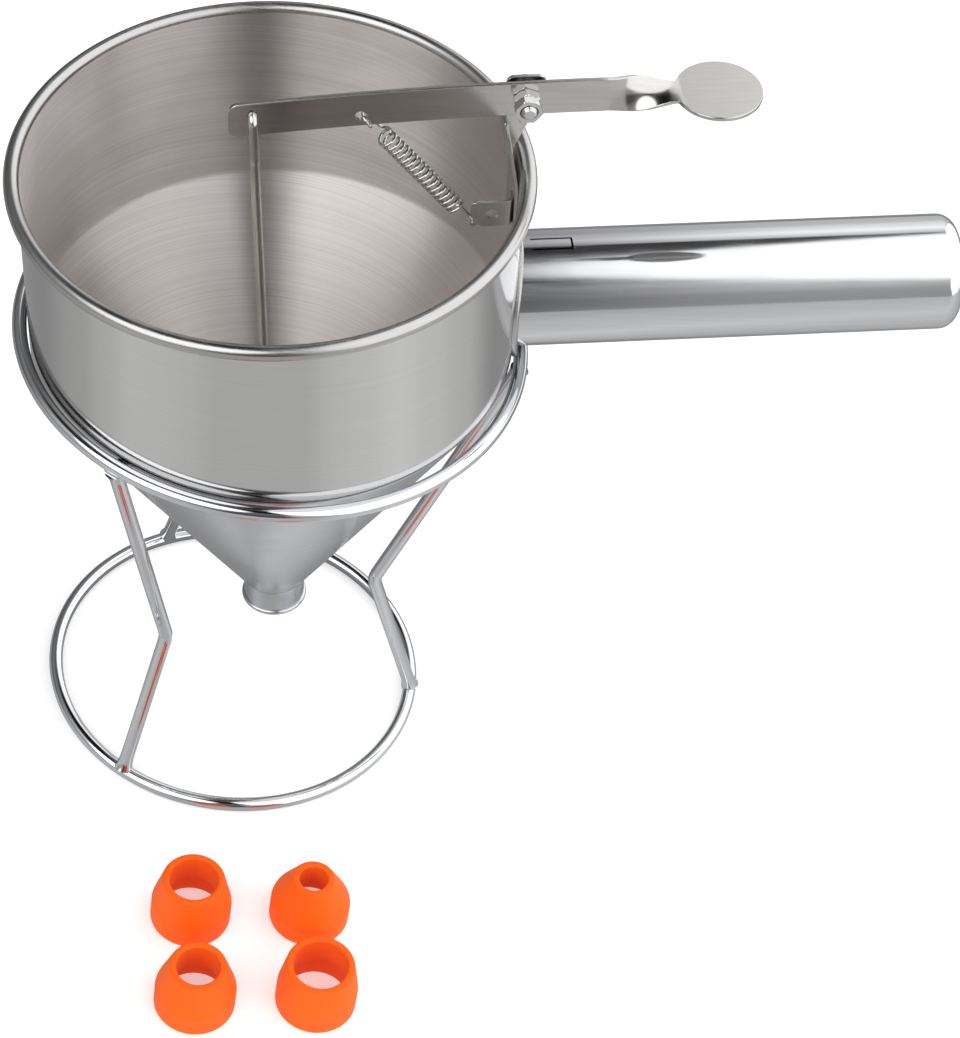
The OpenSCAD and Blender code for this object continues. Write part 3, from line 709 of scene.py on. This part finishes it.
s, lost = softened((tab_left, edge_x + tab_tail), 0, tab_corner, 140)
left_lost = np.where(s < tab_left + tab_tail, lost, 0)
straight_end = edge_x - tab_bend_r
swing = np.clip((s - straight_end) / tab_bend_r, 0, np.pi / 2)
beyond = np.maximum(s - straight_end - tab_bend_r * np.pi / 2, 0)
tab_line = np.stack([np.minimum(s, straight_end) + (tab_bend_r - bracket_t / 2) * np.sin(swing),
                     -bracket_t / 2 + tab_bend_r * (1 - np.cos(swing)) + beyond,
                     np.full_like(s, (tab_low + tab_high) / 2)], -1)
tab_way = along(tab_line)
tab_thick = np.stack([-tab_way[:, 1], tab_way[:, 0], 0 * s], -1)
tab = ribbon(tab_line, (tab_high - tab_low) / 2 + left_lost, (0, 0, 1), tab_thick, bracket_t / 2,
             fillet)


def drill(x, z, r):
    """A cutter for a round hole through a sheet that stands in the XZ plane."""
    profile = np.array([(r, y) for y in drill_ends])
    return piece("cutter", [turned(profile, lambda p: seated(
        np.stack([x + p[..., 0], p[..., 2], z + p[..., 1]], -1)), 48, closed=False)], [])


tab_piece = piece("bracket_tab", [tab], [small_steel], crease=flat_crease)
cut(tab_piece, [drill(tab_hole[0], tab_hole[1], tab_hole[2] / 2), drill(notch_x, tab_low, notch_r)],
    crease=flat_crease)
bracket = piece("bracket", [plate, ear], [small_steel], crease=flat_crease)
for made in (bracket, tab_piece):
    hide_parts("lever_bracket")
    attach(made, "funnel")

# ---- Pivot ----
# A 5 mm bolt goes through the ear, a washer and the lever, and is held by a nut and a lock nut, turned
# a little against each other. The bolt's threaded end stands out beyond them.
bolt_r = 2.5
hex_af = 8
nut_h = 3.2
head_h = 3.5
nut_y = -3.8
bolt_end_y = -11.5
nut_turn = 8
lock_turn = 20
nut_bore_r = 2.55
bolt_hole_r = 2.56
washer_r = 5
washer_t = 0.8
washer_edge = 0.2
thread_pitch = 0.8
thread_depth = 0.22
thread_from = 4
tip_bevel = 0.8

nut_steel = metal("plated_steel", (0.58, 0.58, 0.575), 0.10, (300, 300, 300), uneven=0.4, tint=0.08,
                  depth=0.01)


def on_pivot(y, spin=0):
    """A place on the pivot's axis: Z becomes -Y, starting at y, turned round the axis."""
    def place(points):
        c, s = math.cos(math.radians(spin)), math.sin(math.radians(spin))
        x = points[..., 0] * c - points[..., 1] * s
        z = points[..., 0] * s + points[..., 1] * c
        return seated(np.stack([pivot_x + x, y - points[..., 2], pivot_z + z], -1))
    return place


def hexagon(af, h, bore_r, place, steps=96):
    """A nut: the radius is the hexagon's at each angle, cut down by a cone towards both faces, and its bore
    opens a little at each end. Without a bore it is a bolt's head with a flat face."""
    a = np.linspace(0, 2 * np.pi, steps, endpoint=False)
    off = np.mod(a + np.pi / 6, np.pi / 3) - np.pi / 6
    z = np.array([0, 0.08, 0.2, 0.35, 0.5, 0.65, 0.8, 0.92, 1]) * h
    face_rise, slope = 0.05, 1.8
    cone_cut = af / 2 + face_rise * h + slope * np.minimum(z, h - z)
    outer = np.minimum(af / 2 / np.cos(off), cone_cut[:, None])
    if not bore_r:
        rings = np.stack([outer * np.cos(a), outer * np.sin(a), z[:, None] + 0 * a], -1)
        return shell(place(rings))
    flare = 0.4
    bore = np.array([bore_r + flare, bore_r, bore_r, bore_r + flare])[:, None] + 0 * a
    radius = np.concatenate([outer, bore])
    z = np.concatenate([z, [h, h - flare, flare, 0]])[:, None]
    return shell(place(np.stack([radius * np.cos(a), radius * np.sin(a), z + 0 * a], -1)), closed=True)


thread_z = np.linspace(0, -bolt_end_y + seam, 160)
wave = 0.5 - 0.5 * np.cos(2 * np.pi * thread_z / thread_pitch)
ridge = np.where(thread_z > thread_from, thread_depth * wave, 0)
tip = np.minimum(bolt_r - ridge, bolt_r - tip_bevel + (thread_z[-1] - thread_z))
shank = turned(np.stack([tip, thread_z], -1), on_pivot(seam), 48, closed=False)
head = hexagon(hex_af, head_h, 0, on_pivot(seam + head_h))
bolt = piece("bolt", [shank, head], [nut_steel])
washer_outline = rounded([(bolt_hole_r, 0), (washer_r, 0), (washer_r, washer_t), (bolt_hole_r, washer_t)],
                         washer_edge)
washer = piece("washer", [turned(washer_outline, on_pivot(-bracket_t), 64)], [nut_steel])
first_nut = piece("nut", [hexagon(hex_af, nut_h, nut_bore_r, on_pivot(nut_y, nut_turn))], [nut_steel])
lock_place = on_pivot(nut_y - nut_h - seam, lock_turn)
second_nut = piece("nut_locking", [hexagon(hex_af, nut_h, nut_bore_r, lock_place)], [nut_steel])
for made, cad in ((bolt, "pivot_bolt"), (washer, "pivot_washer"), (first_nut, "pivot_nut"),
                  (second_nut, "lock_nut")):
    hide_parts(cad)
    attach(made, "funnel")

# ---- Lever ----
# A strip of 1.5 mm steel that stands on edge, bows a little along its length, and turns by a quarter into
# a narrow neck and a round thumb pad. It has holes for the rod, the spring and the pivot.
lever_w = 12.8
lever_t = 1.5
lever_y = -2.9
lever_crest = 27
lever_bow_r = 1330
crest_x = 110
lever_left = -13.5
rod_hole_x = -6
rod_hole_z = 23.74
rod_hole_r = 1.85
spring_hole = (28, 22.07, 3.8)
twist_x = 105
twist_l = 24
neck_w = 9
pad_x = 141
pad_r = 14
corner_r = 3
lever_edge = 0.35
least_half = 0.25
pad_brim = 0.4
brim_half_t = 0.45

lever_steel = metal("lever_polish", (0.54, 0.53, 0.515), 0.17, (30, 700, 700), uneven=0.3, tint=0.07,
                    depth=0.006)


def strip_z(x):
    """Height of the strip's middle: a shallow parabola with its crest outward of the pivot."""
    return lever_crest - (x - crest_x) ** 2 / (2 * lever_bow_r)


ends = (1 - np.cos(np.linspace(0, np.pi / 2, 12))) * corner_r
run = np.linspace(corner_r, twist_x - lever_left, 60)
turning = np.linspace(0, twist_l, 48)[1:] + twist_x - lever_left
neck_end = pad_x - math.sqrt(pad_r ** 2 - (neck_w / 2) ** 2) - lever_left
pad_steps = np.pi * np.linspace(0, 1, 60)
pad_run = neck_end + (pad_x + pad_r - lever_left - neck_end) * (1 - np.cos(pad_steps)) / 2
s = np.unique(np.round(np.concatenate([ends, run, turning, pad_run]), 4))
s = s[s > 0.02]
x = lever_left + s
share = np.clip((x - twist_x) / twist_l, 0, 1)
angle = np.pi / 2 * (3 * share ** 2 - 2 * share ** 3)
half = lever_w / 2 + (neck_w - lever_w) / 2 * share
half -= corner_r - np.sqrt(np.maximum(corner_r ** 2 - np.maximum(corner_r - s, 0) ** 2, 0))
disc = np.sqrt(np.maximum(pad_r ** 2 - (x - pad_x) ** 2, 0.0))
# the neck flows into the pad: up to the pad's middle, a soft maximum of the strip's width and the disc's
in_pad = x > pad_x - pad_r
half = np.where(x > pad_x, disc, np.log(np.exp(2 * half) + np.exp(2 * disc * in_pad)) / 2)
half = np.maximum(half, least_half)
level = strip_z(x) + (strip_z(pad_x) - strip_z(x)) * share ** 3
centre = np.stack([x, np.full_like(x, lever_y), level], -1)
wide = np.stack([0 * x, np.sin(angle), np.cos(angle)], -1)
thick = np.stack([0 * x, np.cos(angle), -np.sin(angle)], -1)
half_thick = np.where(x > pad_x + pad_r - pad_brim, brim_half_t, lever_t / 2)
lever = piece("lever", [ribbon(centre, half, wide, thick, half_thick, lever_edge, 4, 14)], [lever_steel],
              crease=flat_crease)
cut(lever, [drill(rod_hole_x, rod_hole_z, rod_hole_r),
            drill(spring_hole[0], spring_hole[1], spring_hole[2] / 2),
            drill(pivot_x, pivot_z, bolt_hole_r)], crease=flat_crease)
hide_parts("lever_arm")
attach(lever, "lever")

# ---- Valve ----
# A 3.2 mm rod hangs in the lever by a folded hook and carries the stopper: a soft ball, flattened above
# and below, between a washer and a nut. Closed, it sits in the cone just above the spout.
rod_r = 1.6
rod_l = 212.1
rod_lean = -1.62
stopper_z = -188.3
hook_bend_r = 2.4
hook_limb = 18
hook_y = 2 * lever_y
stopper_r = 12.5
stopper_top = 5
stopper_seat = 10.9
rod_foot = 3.4
rod_bevel = 0.35
rod_bore_r = rod_r + 0.05
stopper_plate_r = 6
stopper_plate_t = 1
stopper_nut_af = 5.5
stopper_nut_h = 2.4

rod_steel = metal("rod_steel", (0.56, 0.545, 0.52), 0.16, (400, 400, 30), uneven=0.35, tint=0.08,
                  depth=0.006)


def on_rod(points):
    """From the middle of the stopper, up along the rod, which leans from the spout to the lever's hole."""
    points = np.asarray(points, float)
    c, s = math.cos(math.radians(rod_lean)), math.sin(math.radians(rod_lean))
    x = points[..., 0] * c + points[..., 2] * s
    z = points[..., 2] * c - points[..., 0] * s
    return seated(np.stack([x, points[..., 1], z + stopper_z], -1))


first_bend = arc_points((-hook_bend_r, rod_l - hook_bend_r), hook_bend_r, 0, 90, 12)
second_bend = arc_points((hook_y + hook_bend_r, rod_l - hook_bend_r), hook_bend_r, 90, 180, 12)
foot_z, limb_z = -stopper_seat - rod_foot, rod_l - hook_limb
stem = np.stack([np.zeros(80), np.linspace(foot_z, rod_l - hook_bend_r, 80)], -1)[:-1]
limb = np.stack([np.full(12, hook_y), np.linspace(rod_l - hook_bend_r, limb_z, 12)], -1)[1:]
flat = np.concatenate([stem, first_bend, second_bend, limb])
line = np.stack([0 * flat[:, 0], flat[:, 0], flat[:, 1]], -1)
radius = np.full(len(line), rod_r)
radius[[0, -1]] = rod_r - rod_bevel
points, faces = wire(line, (1, 0, 0), radius, 20)
rod = piece("rod", [(on_rod(points), faces)], [rod_steel])
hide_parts("valve_rod")
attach(rod, "valve")

top_angle = math.degrees(math.asin(stopper_top / stopper_r))
seat_angle = -math.degrees(math.asin(stopper_seat / stopper_r))
ball = arc_points((0, 0), stopper_r, seat_angle, top_angle, 36)
profile = np.concatenate([ball, [(rod_bore_r, stopper_top), (rod_bore_r, -stopper_seat)]])
silicone = bpy.data.materials.new("stopper_silicone")
silicone.use_nodes = True
tree = silicone.node_tree
soft = tree.nodes["Principled BSDF"]
soft.inputs["Roughness"].default_value = 0.5
soft.inputs["Subsurface Weight"].default_value = 0.25
soft.inputs["Subsurface Radius"].default_value = (0.004, 0.004, 0.004)
coords = node(tree, "TexCoord")
cloud = node(tree, "TexNoise", {"Scale": 180.0, "Detail": 3.0})
link(tree, coords, "Object", cloud, "Vector")
milk = node(tree, "MixRGB", {"Color1": (0.70, 0.70, 0.68, 1), "Color2": (0.80, 0.80, 0.78, 1)})
link(tree, cloud, "Fac", milk, "Fac")
link(tree, milk, 0, soft, "Base Color")
stopper = piece("stopper", [turned(profile, on_rod, 72)], [silicone])
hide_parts("valve_stopper")
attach(stopper, "valve")

plate_outline = rounded([(rod_bore_r, 0), (stopper_plate_r, 0), (stopper_plate_r, stopper_plate_t),
                         (rod_bore_r, stopper_plate_t)], washer_edge)
plate_outline = plate_outline + (0, stopper_top + seam)
top_washer = piece("stopper_plate", [turned(plate_outline, on_rod, 64)], [nut_steel])
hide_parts("stopper_washer")
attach(top_washer, "valve")
nut_drop = np.array([0, 0, -stopper_seat - seam - stopper_nut_h])
low_nut = piece("stopper_fastener", [hexagon(stopper_nut_af, stopper_nut_h, rod_bore_r,
                                             lambda p: on_rod(p + nut_drop))], [nut_steel])
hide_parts("stopper_nut")
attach(low_nut, "valve")

# ---- Spring ----
# A close-wound extension spring of 1 mm wire, hooked into the lever's hole and over the tab's lower edge.
# The real spring stretches and swings with the lever; here only the ends of that stretch are worked out, and
# the spring is baked in place.
spring_wire_r = 0.5
coil_r = 2.75
spring_turns = 17
coil_l = 40
coil_steps = 28
hook_play = 0.3
hook_bite = spring_hole[2] / 2 - spring_wire_r - hook_play
spring_y = -1.75
hook_turn = 210
spring_steel = metal("spring_steel", (0.54, 0.53, 0.51), 0.14, (500, 500, 500), uneven=0.3, tint=0.06,
                     depth=0.004)

hole_end = np.array([spring_hole[0], spring_hole[1]])
tab_end = np.array([notch_x, tab_low])
spring_way = (tab_end - hole_end) / np.linalg.norm(tab_end - hole_end)
spring_l = np.linalg.norm(tab_end - hole_end) - hook_bite
limb_l = (spring_l - coil_l) / 2 - 2 * coil_r
coil_top = 2 * coil_r + limb_l
coil_low = coil_top + coil_l

hook = np.radians(np.linspace(hook_turn, 0, 40))
upper_hook = np.stack([0 * hook, coil_r * np.cos(hook), coil_r * (1 - np.sin(hook))], -1)
swing = np.linspace(1, 0, 14)[:-1] * np.pi / 2
quarter = -np.pi / 2 * (1 - np.sin(swing))
upper_swing = np.stack([coil_r * np.sin(quarter), coil_r * np.cos(quarter),
                        coil_top - coil_r * (1 - np.cos(swing))], -1)
share = np.linspace(0, 1, spring_turns * coil_steps)
wound = -np.pi / 2 + (2 * spring_turns + 1) * np.pi * share
coil = np.stack([coil_r * np.sin(wound), coil_r * np.cos(wound), coil_top + coil_l * share], -1)
swing = np.linspace(0, 1, 14)[1:] * np.pi / 2
quarter = np.pi / 2 * (1 - np.sin(swing))
lower_swing = np.stack([coil_r * np.sin(quarter), coil_r * np.cos(quarter),
                        coil_low + coil_r * (1 - np.cos(swing))], -1)
hook = hook[::-1]
lower_hook = np.stack([0 * hook, coil_r * np.cos(hook),
                       coil_low + coil_r + limb_l - coil_r * (1 - np.sin(hook))], -1)
line = np.concatenate([upper_hook, upper_swing, coil, lower_swing, lower_hook])
in_coil = np.concatenate([np.zeros(len(upper_hook)), np.linspace(0, 1, len(upper_swing)),
                          np.ones(len(coil)), np.linspace(1, 0, len(lower_swing)),
                          np.zeros(len(lower_hook))])[:, None]
in_coil = in_coil * in_coil * (3 - 2 * in_coil)
across = in_coil * np.array([0, 0, 1]) + (1 - in_coil) * np.array([1, 0, 0])
points, faces = wire(line, across, spring_wire_r, 10)
start = hole_end + hook_bite * spring_way
turn = math.radians(180) - math.atan2(spring_way[0], -spring_way[1])
placed = np.stack([start[0] + points[:, 0] * math.cos(turn) + points[:, 2] * math.sin(turn),
                   spring_y + points[:, 1],
                   start[1] - points[:, 0] * math.sin(turn) + points[:, 2] * math.cos(turn)], -1)
spring = piece("spring", [(seated(placed), faces)], [spring_steel])
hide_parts("return_spring")
blend_from = seated((tab_end[0], spring_y, tab_end[1])) * 0.001
blend_to = seated((hole_end[0], spring_y, hole_end[1])) * 0.001
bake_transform(spring)

# ---- Nozzles ----
# Four moulded orange silicone nozzles, each with its own mouth, that push onto the spout. They stand mouth
# up on the table in front of the stand. The wall is thick and every edge is soft.
nozzle_r = 14.1
nozzle_h = 21.5
nozzle_base_h = 9
socket_r = 11.2
socket_h = 10
mouth_wall = 2.4
nozzle_pitch = (42, 36)
nozzle_front = 131.5
nozzle_edges = [0.6, 1.0, 5.0, 1.1, 0.7, 0.2, 0.2]
# each nozzle's mouth in millimetres, and its column and row on the table
nozzles = {"17mm": (17, -1, 1), "10mm": (10, 1, 1), "15mm": (15, -1, -1), "19mm": (19, 1, -1)}

orange = bpy.data.materials.new("orange_silicone")
orange.use_nodes = True
tree = orange.node_tree
soft = tree.nodes["Principled BSDF"]
soft.inputs["Subsurface Weight"].default_value = 0.05
soft.inputs["Subsurface Radius"].default_value = (0.003, 0.0008, 0.0004)
soft.inputs["Specular IOR Level"].default_value = 0.12
coords = node(tree, "TexCoord")
cloud = node(tree, "TexNoise", {"Scale": 60.0, "Detail": 4.0})
link(tree, coords, "Object", cloud, "Vector")
dye = node(tree, "MixRGB", {"Color1": (0.90, 0.112, 0.007, 1), "Color2": (0.98, 0.142, 0.011, 1)})
link(tree, cloud, "Fac", dye, "Fac")
link(tree, dye, 0, soft, "Base Color")
dull = node(tree, "MapRange", {"To Min": 0.42, "To Max": 0.60})
link(tree, cloud, "Fac", dull, "Value")
link(tree, dull, 0, soft, "Roughness")
skin_noise = node(tree, "TexNoise", {"Scale": 1500.0, "Detail": 2.0})
link(tree, coords, "Object", skin_noise, "Vector")
skin_bump = node(tree, "Bump", {"Strength": 1.0, "Distance": 0.00002})
link(tree, skin_noise, "Fac", skin_bump, "Height")
link(tree, skin_bump, 0, soft, "Normal")

for name, (mouth, column, row) in nozzles.items():
    mouth_r = mouth / 2
    top_r = mouth_r + mouth_wall
    # the step from the mouth's bore to the socket rises a little more where it is short
    throat_rise = 1 if mouth_r > socket_r - 3 else 0.8
    corners = [(socket_r, 0), (nozzle_r, 0), (nozzle_r, nozzle_base_h), (top_r, nozzle_h),
               (mouth_r, nozzle_h), (mouth_r, socket_h + throat_rise), (socket_r, socket_h)]
    outline = rounded(corners, nozzle_edges, 8)
    spot = np.array([column * nozzle_pitch[0] / 2, row * nozzle_pitch[1] / 2 - nozzle_front, 0])
    nozzle = piece(f"soft_nozzle_{name}", [turned(outline, lambda p: p + spot, 96)], [orange], crease=60)
    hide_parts(f"nozzle_{name}")
    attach(nozzle, f"loose_{name}")
